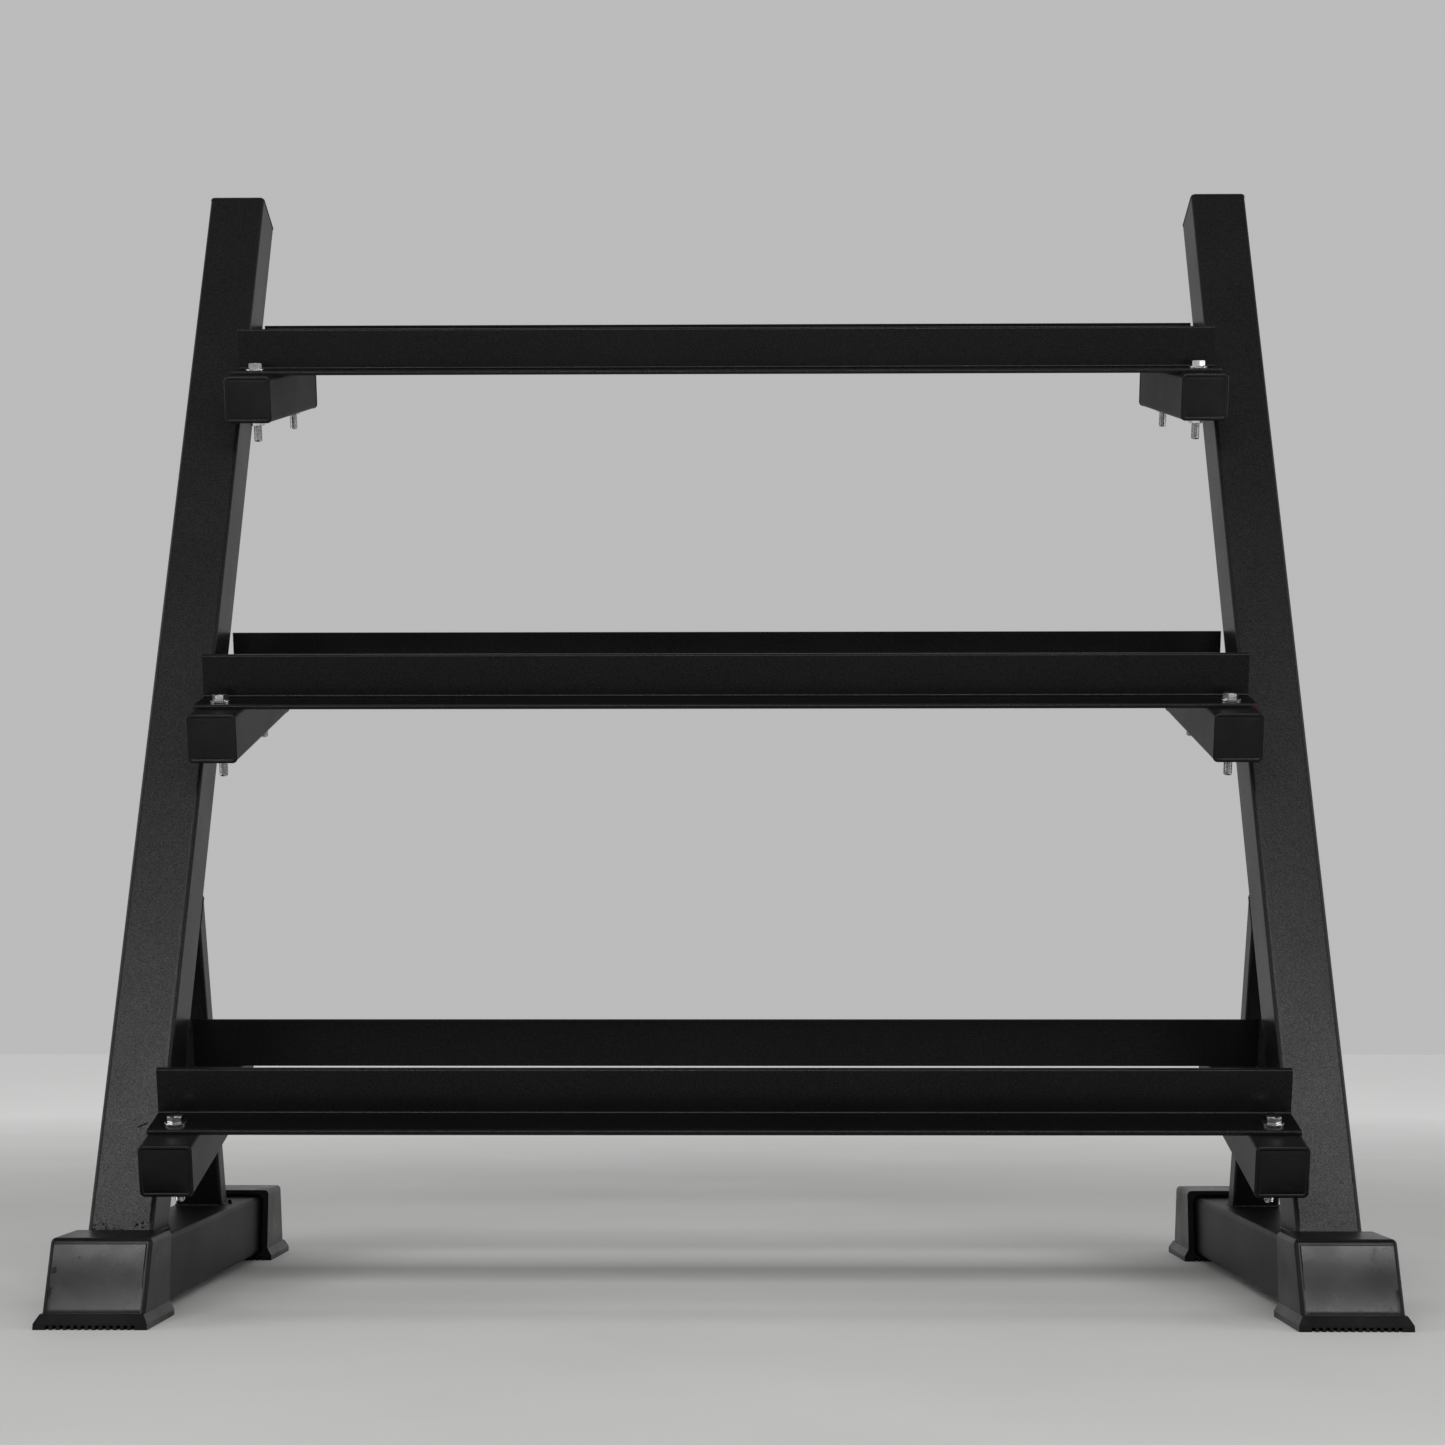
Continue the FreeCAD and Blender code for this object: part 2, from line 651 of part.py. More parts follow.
def boot_grooves(doc, body, dims):
    """Grip grooves along the underside, open at the front and back."""
    label = body.Label
    wide, pitch, deep = (dims.get(n) for n in ("sole_groove", "sole_pitch", "sole_depth"))
    sketch = make_sketch(body, label + "_sole_sketch", "XZ_Plane")
    for i in range(-6, 7):
        middle = "%d * Dims.sole_pitch" % i
        low = (i * pitch - wide / 2, middle + " - Dims.sole_groove / 2")
        high = (i * pitch + wide / 2, middle + " + Dims.sole_groove / 2")
        floor, roof = (0.0, None), (deep, "Dims.sole_depth")
        name = "rib%d_" % (i + 6)
        add_polygon(sketch, name, [(low, floor), (high, floor), (high, roof), (low, roof)])
    add_through_cut(body, label + "_sole", sketch)
    doc.recompute()


def boot(doc, dims, side_name, side, end):
    """Moulded foot that slides over one end of the base tube."""
    body = make_body(doc, "boot_%s_%s" % (end, side_name))
    boot_shell(doc, body, dims)
    boot_skirt(doc, body, dims)
    boot_socket(doc, body, dims)
    boot_grooves(doc, body, dims)
    if end == "rear":
        body.Placement.Rotation = FreeCAD.Rotation(vec(0, 0, 1), 180)
    way = "-" if end == "front" else ""
    place(body, signed(side, "Dims.base_offset"), way + "Dims.base_length / 2", None, None)
    return body


def build(doc, dims):
    parts = []
    for side_name, side in SIDES:
        parts.append(base_tube(doc, dims, side_name, side))
        parts.append(upright(doc, dims, side_name, side))
        parts.append(upright_cap(doc, dims, side_name, side))
        parts.append(rear_brace(doc, dims, side_name, side))
        for end in ("front", "rear"):
            parts.append(boot(doc, dims, side_name, side, end))
    for tier, height in TIERS:
        for side_name, side in SIDES:
            parts.append(arm(doc, dims, side_name, side, tier, height))
            for end in ("front", "rear"):
                parts.append(arm_cap(doc, dims, side_name, side, tier, height, end))
        for end in ("front", "rear"):
            parts.append(rail(doc, dims, tier, height, end))
        parts += fasteners(doc, tier, height)
    doc.recompute()
    return parts


def check(doc, parts):
    for obj in doc.Objects:
        if "Invalid" in obj.State or "Error" in obj.State:
            raise RuntimeError("%s did not compute" % obj.Name)
    for part in parts:
        if part.Shape.isNull() or not part.Shape.isValid():
            raise RuntimeError("%s has a bad shape" % part.Label)
        if not part.Shape.Solids:
            raise RuntimeError("%s has no solid" % part.Label)


def main():
    os.makedirs("parts", exist_ok=True)
    doc = FreeCAD.newDocument("dumbbell_rack")
    dims = make_table(doc)
    parts = build(doc, dims)
    check(doc, parts)
    for part in parts:
        part.Shape.exportStep("parts/%s.step" % part.Label)
        box = part.Shape.BoundBox
        size = (box.XMin, box.XMax, box.YMin, box.YMax, box.ZMin, box.ZMax)
        print(part.Label, len(part.Shape.Solids), "%.1f %.1f  %.1f %.1f  %.1f %.1f" % size)


main()
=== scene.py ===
import bmesh
import bpy
import math
import random
from mathutils import Matrix, Vector


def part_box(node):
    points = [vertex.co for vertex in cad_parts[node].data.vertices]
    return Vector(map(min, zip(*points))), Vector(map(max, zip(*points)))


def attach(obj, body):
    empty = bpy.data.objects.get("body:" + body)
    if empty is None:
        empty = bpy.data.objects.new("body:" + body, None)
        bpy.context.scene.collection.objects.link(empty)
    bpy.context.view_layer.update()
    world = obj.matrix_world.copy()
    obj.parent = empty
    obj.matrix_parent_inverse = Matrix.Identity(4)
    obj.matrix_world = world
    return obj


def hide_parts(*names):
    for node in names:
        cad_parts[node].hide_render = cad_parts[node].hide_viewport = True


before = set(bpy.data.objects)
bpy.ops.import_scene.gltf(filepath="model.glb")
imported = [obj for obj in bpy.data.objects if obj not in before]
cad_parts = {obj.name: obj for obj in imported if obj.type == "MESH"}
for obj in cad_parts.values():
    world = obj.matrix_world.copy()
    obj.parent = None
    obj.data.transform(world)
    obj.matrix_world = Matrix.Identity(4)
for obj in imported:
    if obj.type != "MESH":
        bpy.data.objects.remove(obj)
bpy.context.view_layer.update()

BODY = "root"
MM = 0.001
TIERS = ("low", "mid", "top")
SIDES = ("left", "right")
TILT = math.radians(18.0)          # arms and rails tip down to the front
LEAN = math.radians(18.0)          # uprights lean back
RAKE = math.radians(23.75)         # rear braces lean forward
BRACE_DEPTH = 25.4 * MM
TUBE_RADIUS = 5.0 * MM
BOOT_SLOPE = 24.0 * MM
SKIRT_FLARE = 4.8 * MM
SKIRT_HEIGHT = 13.5 * MM
PANEL_MARGIN = 4.2 * MM            # boot face left bare beside its panel
PANEL_BEVEL = 0.8 * MM
BOLT_DIAMETER = 9.5 * MM
THREAD_PITCH = 1.59 * MM
WASHER_BORE = 5.3 * MM             # radius
WASHER_EDGE = 0.35 * MM
NUT_BORE = 4.9 * MM                # radius
CAP_FLANGE = 2.5 * MM
CAP_OVERHANG = 1.0 * MM            # a cap is this much wider than its tube
CAP_PROFILE = (                    # inset from the rim and drop below the face, in mm
    (0.3, 0.8), (0.8, 0.3), (1.6, 0.0), (3.2, 0.0), (3.7, 0.3), (4.1, 0.65), (4.6, 0.65),
    (5.3, 0.4), (7.2, 0.28), (14.0, 0.08), (20.0, 0.04),
)
random.seed(7)


# ---------------------------------------------------------------- materials

def set_range(node, low, high, start, end):
    for key, number in (("From Min", low), ("From Max", high), ("To Min", start), ("To Max", end)):
        node.inputs[key].default_value = number


class Nodes:
    """Short names for building one material's node tree."""

    def __init__(self, name):
        self.material = bpy.data.materials.new(name)
        self.material.use_nodes = True
        self.tree = self.material.node_tree
        self.tree.nodes.clear()
        self.shader = self.add("ShaderNodeBsdfPrincipled")
        output = self.add("ShaderNodeOutputMaterial")
        self.link(self.shader.outputs["BSDF"], output.inputs["Surface"])
        self.place = self.add("ShaderNodeTexCoord").outputs["Object"]

    def add(self, kind, **settings):
        node = self.tree.nodes.new(kind)
        for key, value in settings.items():
            setattr(node, key, value)
        return node

    def link(self, source, target):
        self.tree.links.new(source, target)

    def noise(self, scale, detail=2.0, rough=0.5, stretch=None):
        node = self.add("ShaderNodeTexNoise")
        node.inputs["Scale"].default_value = scale
        node.inputs["Detail"].default_value = detail
        node.inputs["Roughness"].default_value = rough
        source = self.place
        if stretch:
            mapping = self.add("ShaderNodeMapping")
            mapping.inputs["Scale"].default_value = stretch
            self.link(self.place, mapping.inputs["Vector"])
            source = mapping.outputs["Vector"]
        self.link(source, node.inputs["Vector"])
        return node.outputs["Fac"]

    def ramp(self, value, low, high, start=0.0, end=1.0):
        node = self.add("ShaderNodeMapRange")
        set_range(node, low, high, start, end)
        self.link(value, node.inputs["Value"])
        return node.outputs["Result"]

    def math(self, operation, a, b=0.0):
        node = self.add("ShaderNodeMath", operation=operation)
        for socket, value in zip(node.inputs, (a, b)):
            if isinstance(value, (int, float)):
                socket.default_value = value
            else:
                self.link(value, socket)
        return node.outputs["Value"]

    def mix(self, factor, a, b):
        node = self.add("ShaderNodeMix", data_type="RGBA")
        self.link(factor, node.inputs["Factor"])
        for socket, value in ((node.inputs[6], a), (node.inputs[7], b)):
            if isinstance(value, tuple):
                socket.default_value = (*value, 1.0)
            else:
                self.link(value, socket)
        return node.outputs[2]

    def near(self, spot, reach):
        """One at the spot, falling to zero at the reach."""
        gap = self.add("ShaderNodeVectorMath", operation="DISTANCE")
        self.link(self.place, gap.inputs[0])
        gap.inputs[1].default_value = spot
        return self.ramp(gap.outputs["Value"], 0.0, reach, 1.0, 0.0)

    def streak(self, spot, turn, half_length, half_width):
        """One along a short line on a face that looks forward, zero away from it."""
        mapping = self.add("ShaderNodeMapping", vector_type="TEXTURE")
        mapping.inputs["Location"].default_value = spot
        mapping.inputs["Rotation"].default_value = (0.0, -turn, 0.0)
        mapping.inputs["Scale"].default_value = (half_length, 0.05, half_width)
        self.link(self.place, mapping.inputs["Vector"])
        size = self.add("ShaderNodeVectorMath", operation="LENGTH")
        self.link(mapping.outputs["Vector"], size.inputs[0])
        return self.ramp(size.outputs["Value"], 0.6, 1.0, 1.0, 0.0)

    def bump(self, height, distance, strength=1.0, base=None):
        node = self.add("ShaderNodeBump")
        node.inputs["Distance"].default_value = distance
        node.inputs["Strength"].default_value = strength
        self.link(height, node.inputs["Height"])
        if base is not None:
            self.link(base, node.inputs["Normal"])
        return node.outputs["Normal"]


def powder_coat(name, base, light, rough, peel, shine, chips=(), scratches=(), rust=()):
    """Black powder coat: orange-peel bump, speckle, tone drift, chips, scratches and rust."""
    n = Nodes(name)
    drift = n.ramp(n.noise(6.0, 4.0), 0.35, 0.65)
    speck = n.ramp(n.noise(900.0, 2.0, 0.8), 0.36, 0.66)
    color = n.mix(drift, base, tuple(0.75 * c for c in base))
    color = n.mix(n.math("MULTIPLY", speck, 0.5), color, light)
    sheen = n.ramp(speck, 0.0, 1.0, 0.45 * shine, 1.55 * shine)
    roughness = n.ramp(n.noise(9.0, 3.0), 0.3, 0.7, rough - 0.03, rough + 0.03)
    marks = []
    for spot, reach in chips:
        inside = n.ramp(n.near(spot, reach), 0.0, 0.6, 0.6, 1.0)
        flecks = n.math("MULTIPLY", n.noise(420.0, 4.0, 0.6), inside)
        marks.append(n.ramp(flecks, 0.53, 0.55))
    for spot, turn, half_length, half_width in scratches:
        line = n.streak(spot, turn, half_length, half_width)
        marks.append(n.ramp(n.math("MULTIPLY", n.noise(600.0, 3.0), line), 0.2, 0.4))
    if marks:
        worn = marks[0]
        for mark in marks[1:]:
            worn = n.math("MAXIMUM", worn, mark)
        color = n.mix(worn, color, (0.0015, 0.0015, 0.0015))
        sheen = n.math("MULTIPLY", sheen, n.ramp(worn, 0.0, 1.0, 1.0, 0.05))
    for spot, reach in rust:
        stain = n.math("MULTIPLY", n.near(spot, reach), n.ramp(n.noise(500.0, 4.0), 0.35, 0.6))
        color = n.mix(stain, color, (0.06, 0.022, 0.013))
    n.link(color, n.shader.inputs["Base Color"])
    n.link(roughness, n.shader.inputs["Roughness"])
    n.link(sheen, n.shader.inputs["Specular IOR Level"])
    fine = n.bump(n.noise(2100.0, 1.0), 0.00002 * peel, 0.8)
    n.link(n.bump(n.noise(650.0, 2.0), 0.00006 * peel, 0.8, fine), n.shader.inputs["Normal"])
    return n.material


def moulded_plastic(name, base, rough, grain, shine, nose_shade_spots=()):
    """Injection-moulded black plastic with a fine grain and scuffs; painted shade can dull its
    sheen round given spots.
    """
    n = Nodes(name)
    cloud = n.ramp(n.noise(18.0, 5.0, 0.6), 0.35, 0.7)
    scuff = n.ramp(n.noise(60.0, 6.0, 0.7, (1.0, 0.25, 1.0)), 0.58, 0.7)
    color = n.mix(cloud, base, tuple(1.5 * c for c in base))
    color = n.mix(n.math("MULTIPLY", scuff, 0.35), color, tuple(3.0 * c for c in base))
    sheen = n.ramp(cloud, 0.0, 1.0, 0.85 * shine, 1.15 * shine)
    for spot, reach in nose_shade_spots:
        # Painted shade: the sheen is dulled round each spot.
        nose_shade = n.ramp(n.math("MULTIPLY", n.noise(300.0, 4.0, 0.7), n.near(spot, reach)), 0.22, 0.34)
        sheen = n.math("MULTIPLY", sheen, n.ramp(nose_shade, 0.0, 1.0, 1.0, 0.25))
    n.link(color, n.shader.inputs["Base Color"])
    rough_map = n.ramp(n.noise(25.0, 4.0), 0.3, 0.7, rough - 0.04, rough + 0.06)
    n.link(n.math("ADD", rough_map, n.math("MULTIPLY", scuff, 0.1)), n.shader.inputs["Roughness"])
    n.link(sheen, n.shader.inputs["Specular IOR Level"])
    fine = n.bump(n.noise(1800.0, 2.0), 0.00002 * grain, 0.7)
    n.link(n.bump(n.noise(30.0, 2.0), 0.0003 * grain, 0.3, fine), n.shader.inputs["Normal"])
    return n.material


def zinc_plate(name):
    """Bright zinc with faint handling marks and a dull bloom."""
    n = Nodes(name)
    bloom = n.ramp(n.noise(260.0, 4.0, 0.6), 0.35, 0.7)
    n.link(n.mix(bloom, (0.66, 0.67, 0.68), (0.44, 0.44, 0.42)), n.shader.inputs["Base Color"])
    n.shader.inputs["Metallic"].default_value = 1.0
    n.link(n.ramp(n.noise(400.0, 3.0), 0.3, 0.7, 0.09, 0.20), n.shader.inputs["Roughness"])
    n.link(n.bump(n.noise(900.0, 2.0), 0.000006, 0.6), n.shader.inputs["Normal"])
    return n.material


# ---------------------------------------------------------------- mesh helpers

def make_piece(name, mesh, material, replaced=(), smooth=35.0):
    obj = bpy.data.objects.new(name, mesh)
    bpy.context.scene.collection.objects.link(obj)
    obj.data.materials.append(material)
    obj.data.shade_smooth()
    obj.data.set_sharp_from_angle(angle=math.radians(smooth))
    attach(obj, BODY)
    if replaced:
        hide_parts(*replaced)


def new_mesh(name, build):
    mesh = bpy.data.meshes.new(name)
    bm = bmesh.new()
    build(bm)
    bmesh.ops.remove_doubles(bm, verts=bm.verts, dist=1e-7)
    bmesh.ops.recalc_face_normals(bm, faces=bm.faces)
    bm.to_mesh(mesh)
    bm.free()
    return mesh


def add_rings(bm, rings, cap_start=True, cap_end=True, matrix=None):
    """Skin of quads over a list of point rings, with optional end caps."""
    turn = matrix or Matrix.Identity(4)
    rows = [[bm.verts.new(turn @ Vector(p)) for p in ring] for ring in rings]
    count = len(rows[0])
    for low, high in zip(rows, rows[1:]):
        for i in range(count):
            j = (i + 1) % count
            bm.faces.new((low[i], low[j], high[j], high[i]))
    if cap_start:
        bm.faces.new(list(reversed(rows[0])))
    if cap_end:
        bm.faces.new(rows[-1])


def turns(count):
    """Evenly spaced angles of one full turn."""
    return [2 * math.pi * i / count for i in range(count)]


def circle(radius, z, count):
    return [(radius * math.cos(a), radius * math.sin(a), z) for a in turns(count)]


def round_rectangle(width, height, radius, z, steps=6):
    """Points of a rounded rectangle in the XY plane at height z."""
    points = []
    corners = ((1, 1, 0), (-1, 1, 90), (-1, -1, 180), (1, -1, 270))
    for sx, sy, start in corners:
        cx, cy = sx * (width / 2 - radius), sy * (height / 2 - radius)
        for i in range(steps + 1):
            a = math.radians(start + 90.0 * i / steps)
            points.append((cx + radius * math.cos(a), cy + radius * math.sin(a), z))
    return points


# ---------------------------------------------------------------- where things are

class Tier:
    """Local frame of one tier: x along the rails, y up the arms, z square to them."""

    def __init__(self, name):
        low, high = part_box("arm_%s_left" % name)
        self.name = name
        self.arm = high.x - low.x
        self.length = (high.y - low.y - self.arm * math.sin(TILT)) / math.cos(TILT)
        origin = Vector((0, low.y, high.z - self.length * math.sin(TILT)))
        self.matrix = Matrix.Translation(origin) @ Matrix.Rotation(TILT, 4, "X")
        self.arm_x = (low.x + high.x) / 2

    def solids(self, node):
        """Box of every separate solid of a node, in this tier's frame."""
        inverse = self.matrix.inverted()
        bm = bmesh.new()
        bm.from_mesh(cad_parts[node].data)
        bmesh.ops.remove_doubles(bm, verts=bm.verts, dist=1e-6)
        boxes, seen = [], set()
        for start in bm.verts:
            if start in seen:
                continue
            island, stack = [], [start]
            seen.add(start)
            while stack:
                vert = stack.pop()
                island.append(inverse @ vert.co)
                for edge in vert.link_edges:
                    other = edge.other_vert(vert)
                    if other not in seen:
                        seen.add(other)
                        stack.append(other)
            low = Vector(min(p[k] for p in island) for k in range(3))
            high = Vector(max(p[k] for p in island) for k in range(3))
            boxes.append((low, high))
        bm.free()
        return boxes


# ---------------------------------------------------------------- hardware

def hex_radius(angle, flats):
    step = math.radians(60.0)
    off = (angle % step) - step / 2
    return flats / 2 / math.cos(off)


def add_hexagon(bm, flats, low, high, matrix, bevel_low, bevel_high, bore=0.0):
    """Hexagon with turned chamfers on the chosen ends and an optional bore."""
    count = 48
    slope = math.tan(math.radians(30.0))
    crown = flats / 2 * 0.97

    def ring(z, bevelled):
        """Outline at one end, whose corners fall away from it if it is bevelled."""
        inward = 1 if z == low else -1
        points = []
        for a in turns(count):
            r = hex_radius(a, flats)
            drop = (r - crown) * slope if bevelled else 0.0
            points.append((r * math.cos(a), r * math.sin(a), z + inward * drop))
        return points

    rings = [ring(low, bevel_low), ring(high, bevel_high)]
    if bevel_low:
        rings.insert(0, circle(crown, low, count))
    if bevel_high:
        rings.append(circle(crown, high, count))
    if not bore:
        add_rings(bm, rings, matrix=matrix)
        return
    rings += [circle(bore * 1.12, high, count), circle(bore, high - bore * 0.12, count)]
    rings += [circle(bore, low + bore * 0.12, count), circle(bore * 1.12, low, count)]
    rings.append(rings[0])
    add_rings(bm, rings, cap_start=False, cap_end=False, matrix=matrix)


def add_turned(bm, profile, matrix, count=40, closed=False):
    """Surface of revolution of (radius, height) points."""
    rings = [circle(radius, z, count) for radius, z in profile]
    if closed:
        rings.append(rings[0])
    add_rings(bm, rings, cap_start=not closed, cap_end=not closed, matrix=matrix)


def add_thread(bm, radius, low, high, matrix, pitch=THREAD_PITCH):
    """Threaded rod with a true helix and a turned point at its lower end."""
    count, per_turn = 28, 6
    depth = 0.55 * pitch
    rows = int((high - low) / pitch * per_turn)
    rings = []
    for row in range(rows + 1):
        z = low + (high - low) * row / rows
        taper = min(1.0, (z - low) / (0.9 * pitch))
        ring = []
        for i in range(count):
            phase = ((z - low) / pitch + i / count) % 1.0
            crest = 1.0 - abs(2.0 * phase - 1.0)
            r = radius - depth * (1.0 - crest)
            r = min(r, radius - depth * (1.0 - taper) * 1.3)
            a = 2 * math.pi * i / count
            ring.append((r * math.cos(a), r * math.sin(a), z))
        rings.append(ring)
    add_rings(bm, rings, matrix=matrix)


def build_bolts(tier, material):
    node = "bolts_" + tier.name
    seat = max(high.z for low, high in tier.solids("washers_" + tier.name))
    radius = BOLT_DIAMETER / 2

    def build(bm):
        for low, high in tier.solids(node):
            middle = (low + high) / 2
            flats = min(high.x - low.x, high.y - low.y)
            turn = Matrix.Rotation(random.uniform(0, math.pi / 3), 4, "Z")
            place = tier.matrix @ Matrix.Translation((middle.x, middle.y, 0.0)) @ turn
            rim = flats / 2 * 0.96
            add_turned(bm, [(rim, seat), (rim, seat + 0.4 * MM)], place)
            add_hexagon(bm, flats, seat + 0.35 * MM, high.z, place, False, True)
            add_turned(bm, [(radius, -tier.arm + 1 * MM), (radius, seat)], place, 32)
            add_thread(bm, radius, low.z, -tier.arm + 2 * MM, place)

    make_piece("hex_bolts_" + tier.name, new_mesh(node, build), material, [node])


def build_washers(tier, material):
    node = "washers_" + tier.name

    def build(bm):
        for low, high in tier.solids(node):
            middle = (low + high) / 2
            outer, bore, edge = (high.x - low.x) / 2, WASHER_BORE, WASHER_EDGE
            profile = [
                (bore, low.z), (outer - edge, low.z), (outer, low.z + edge),
                (outer, high.z - edge * 1.4), (outer - edge * 1.6, high.z),
                (bore + edge, high.z), (bore, high.z - edge),
            ]
            place = tier.matrix @ Matrix.Translation((middle.x, middle.y, 0.0))
            add_turned(bm, profile, place, 48, True)

    name = "flat_washers_" + tier.name
    make_piece(name, new_mesh(node, build), material, [node])


def build_nuts(tier, material):
    node = "nuts_" + tier.name

    def build(bm):
        for low, high in tier.solids(node):
            middle = (low + high) / 2
            flats = min(high.x - low.x, high.y - low.y)
            turn = Matrix.Rotation(random.uniform(0, math.pi / 3), 4, "Z")
            place = tier.matrix @ Matrix.Translation((middle.x, middle.y, 0.0)) @ turn
            add_hexagon(bm, flats, low.z, high.z, place, True, True, bore=NUT_BORE)

    make_piece("hex_nuts_" + tier.name, new_mesh(node, build), material, [node])


# ---------------------------------------------------------------- tube caps

def cap_rings(size, radius, flange):
    """Cross-sections of a plastic tube cap, from its seat out to its slightly domed face."""
    def at(inset, z):
        corner = max(radius - inset, 0.8 * MM)
        return round_rectangle(size - 2 * inset, size - 2 * inset, corner, z)

    rings = [at(0.35 * MM, 0.0), at(0.0, 0.35 * MM), at(0.0, flange - 1.5 * MM)]
    return rings + [at(inset * MM, flange - drop * MM) for inset, drop in CAP_PROFILE]


def build_cap(node, matrix, tube, material):
    rings = cap_rings(tube + CAP_OVERHANG, TUBE_RADIUS + CAP_OVERHANG / 2, CAP_FLANGE)
    mesh = new_mesh(node, lambda bm: add_rings(bm, rings, matrix=matrix))
    make_piece("moulded_" + node, mesh, material, [node], 60.0)


def arm_cap_matrix(tier, side, end):
    x = tier.arm_x if side == "left" else -tier.arm_x
    y = 0.0 if end == "front" else tier.length
    turn = Matrix.Rotation(math.radians(90 if end == "front" else -90), 4, "X")
    return tier.matrix @ Matrix.Translation((x, y, -tier.arm / 2)) @ turn


def upright_width(side):
    low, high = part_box("upright_" + side)
    return high.x - low.x


def upright_cap_matrix(side):
    """Middle of the upright's square-cut top, facing along the tube."""
    low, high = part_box("upright_" + side)
    size = upright_width(side)
    back = Vector((0, math.cos(LEAN), -math.sin(LEAN)))
    corner = Vector(((low.x + high.x) / 2, high.y - size * math.cos(LEAN), high.z))
    return Matrix.Translation(corner + back * size / 2) @ Matrix.Rotation(-LEAN, 4, "X")


# ---------------------------------------------------------------- boots

def boot_panel(side, end, material):
    """Bevelled, gently waved panel on the sloped nose of a boot."""
    low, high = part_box("boot_%s_%s" % (end, side))
    middle = (low.x + high.x) / 2
    width = high.x - low.x - 2 * SKIRT_FLARE
    way = -1 if end == "front" else 1
    edge_y = low.y + SKIRT_FLARE if end == "front" else high.y - SKIRT_FLARE
    slope = math.atan2(BOOT_SLOPE, high.z)
    up = Vector((0, -way * math.sin(slope), math.cos(slope)))
    out = Vector((0, way * math.cos(slope), math.sin(slope)))
    across = Vector((1, 0, 0))
    foot = Vector((middle, edge_y, 0))
    bottom = (SKIRT_HEIGHT + 0.6 * MM) / math.cos(slope)
    top = (high.z - 5.2 * MM) / math.cos(slope)
    half = width / 2 - PANEL_MARGIN
    centre, tall = (bottom + top) / 2, (top - bottom) / 2

    def spread(count, reach):
        """Steps from -1 to 1 with a narrow one at each end for the bevelled border."""
        inner = 1 - PANEL_BEVEL / reach
        return [-1] + [inner * (2 * i / count - 1) for i in range(count + 1)] + [1]

    def height(u, v):
        if abs(u) == 1 or abs(v) == 1:
            return 0.15 * MM
        return (0.95 + 0.7 * math.sin(0.7 * math.pi * v)) * MM

    def build(bm):
        grid = []
        for v in spread(24, tall):
            line = []
            for u in spread(24, half):
                point = foot + across * half * u + up * (centre + tall * v)
                line.append(bm.verts.new(point + out * height(u, v)))
            grid.append(line)
        for r in range(len(grid) - 1):
            for c in range(len(grid[0]) - 1):
                quad = (grid[r][c], grid[r][c + 1], grid[r + 1][c + 1], grid[r + 1][c])
                bm.faces.new(quad)
        rim = [e for e in bm.edges if e.is_boundary]
        made = bmesh.ops.extrude_edge_only(bm, edges=rim)["geom"]
        sunk = [g for g in made if isinstance(g, bmesh.types.BMVert)]
        bmesh.ops.translate(bm, verts=sunk, vec=-out * 0.6 * MM)

    name = "boot_panel_%s_%s" % (end, side)
    make_piece(name, new_mesh(name, build), material, smooth=25.0)


# ---------------------------------------------------------------- welds

def resample(points, step):
    """Points at even steps round a loop."""
    out = []
    for a, b in zip(points, points[1:] + points[:1]):
        count = max(1, round((b - a).length / step))
        out += [a.lerp(b, i / count) for i in range(count)]
    return out


def add_weld(bm, points, radius):
    """Rippled bead round a loop of points."""
    path = resample(points, 0.9 * MM)
    count = len(path)
    sides = 10
    rings = []
    for i, point in enumerate(path):
        along = (path[(i + 1) % count] - path[i - 1]).normalized()
        side = along.orthogonal().normalized()
        other = along.cross(side)
        ripple = 1.0 + 0.10 * math.sin(i * 2 * math.pi / 4.0) + random.uniform(-0.03, 0.03)
        swell = radius * ripple
        around = [math.cos(a) * side + math.sin(a) * other for a in turns(sides)]
        rings.append([point + swell * way for way in around])
    add_rings(bm, rings, cap_start=False, cap_end=False)


def foot_outline(node, lean, top, depth):
    """Level outline of a leaning tube where it meets the base tube."""
    low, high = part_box(node)
    run = depth / math.cos(lean)
    front = low.y if node.startswith("upright") else high.y - run
    ring = round_rectangle(high.x - low.x, run, TUBE_RADIUS, 0.0, 4)
    middle = Vector(((low.x + high.x) / 2, front + run / 2, top))
    return [middle + Vector(p) for p in ring]


def meet(point, angle, other, other_angle):
    """Crossing of two lines in the YZ plane, each leaning back by its angle from vertical."""
    (py, pz), (qy, qz) = point, other
    ay, az = math.sin(angle), math.cos(angle)
    by, bz = math.sin(other_angle), math.cos(other_angle)
    reach = ((qy - py) * bz - (qz - pz) * by) / (ay * bz - az * by)
    return py + ay * reach, pz + az * reach


def upright_faces(side):
    """A point at the foot of the front face and of the rear face, inset from the corners."""
    low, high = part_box("upright_" + side)
    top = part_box("base_tube_" + side)[1].z
    run = (high.x - low.x) / math.cos(LEAN)
    inset = 2.0 * MM / math.cos(LEAN)
    return (low.y + inset, top), (low.y + run - inset, top)


def arm_seam(tier, side):
    """Loop where the side of an arm lies against the inner face of its upright."""
    low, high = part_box("arm_%s_%s" % (tier.name, side))
    inset = 2.2 * MM
    corner = tier.matrix.translation
    flat = math.pi / 2 - TILT
    across = Vector((0, -math.sin(TILT), math.cos(TILT)))
    lines = [corner + across * z for z in (-inset, inset - tier.arm)]
    x = low.x + 1.2 * MM if side == "left" else high.x - 1.2 * MM
    front, rear = upright_faces(side)
    loop = []
    for line, faces in ((lines[0], (front, rear)), (lines[1], (rear, front))):
        for face in faces:
            y, z = meet((line.y, line.z), flat, face, LEAN)
            loop.append(Vector((x, y, z)))
    return loop


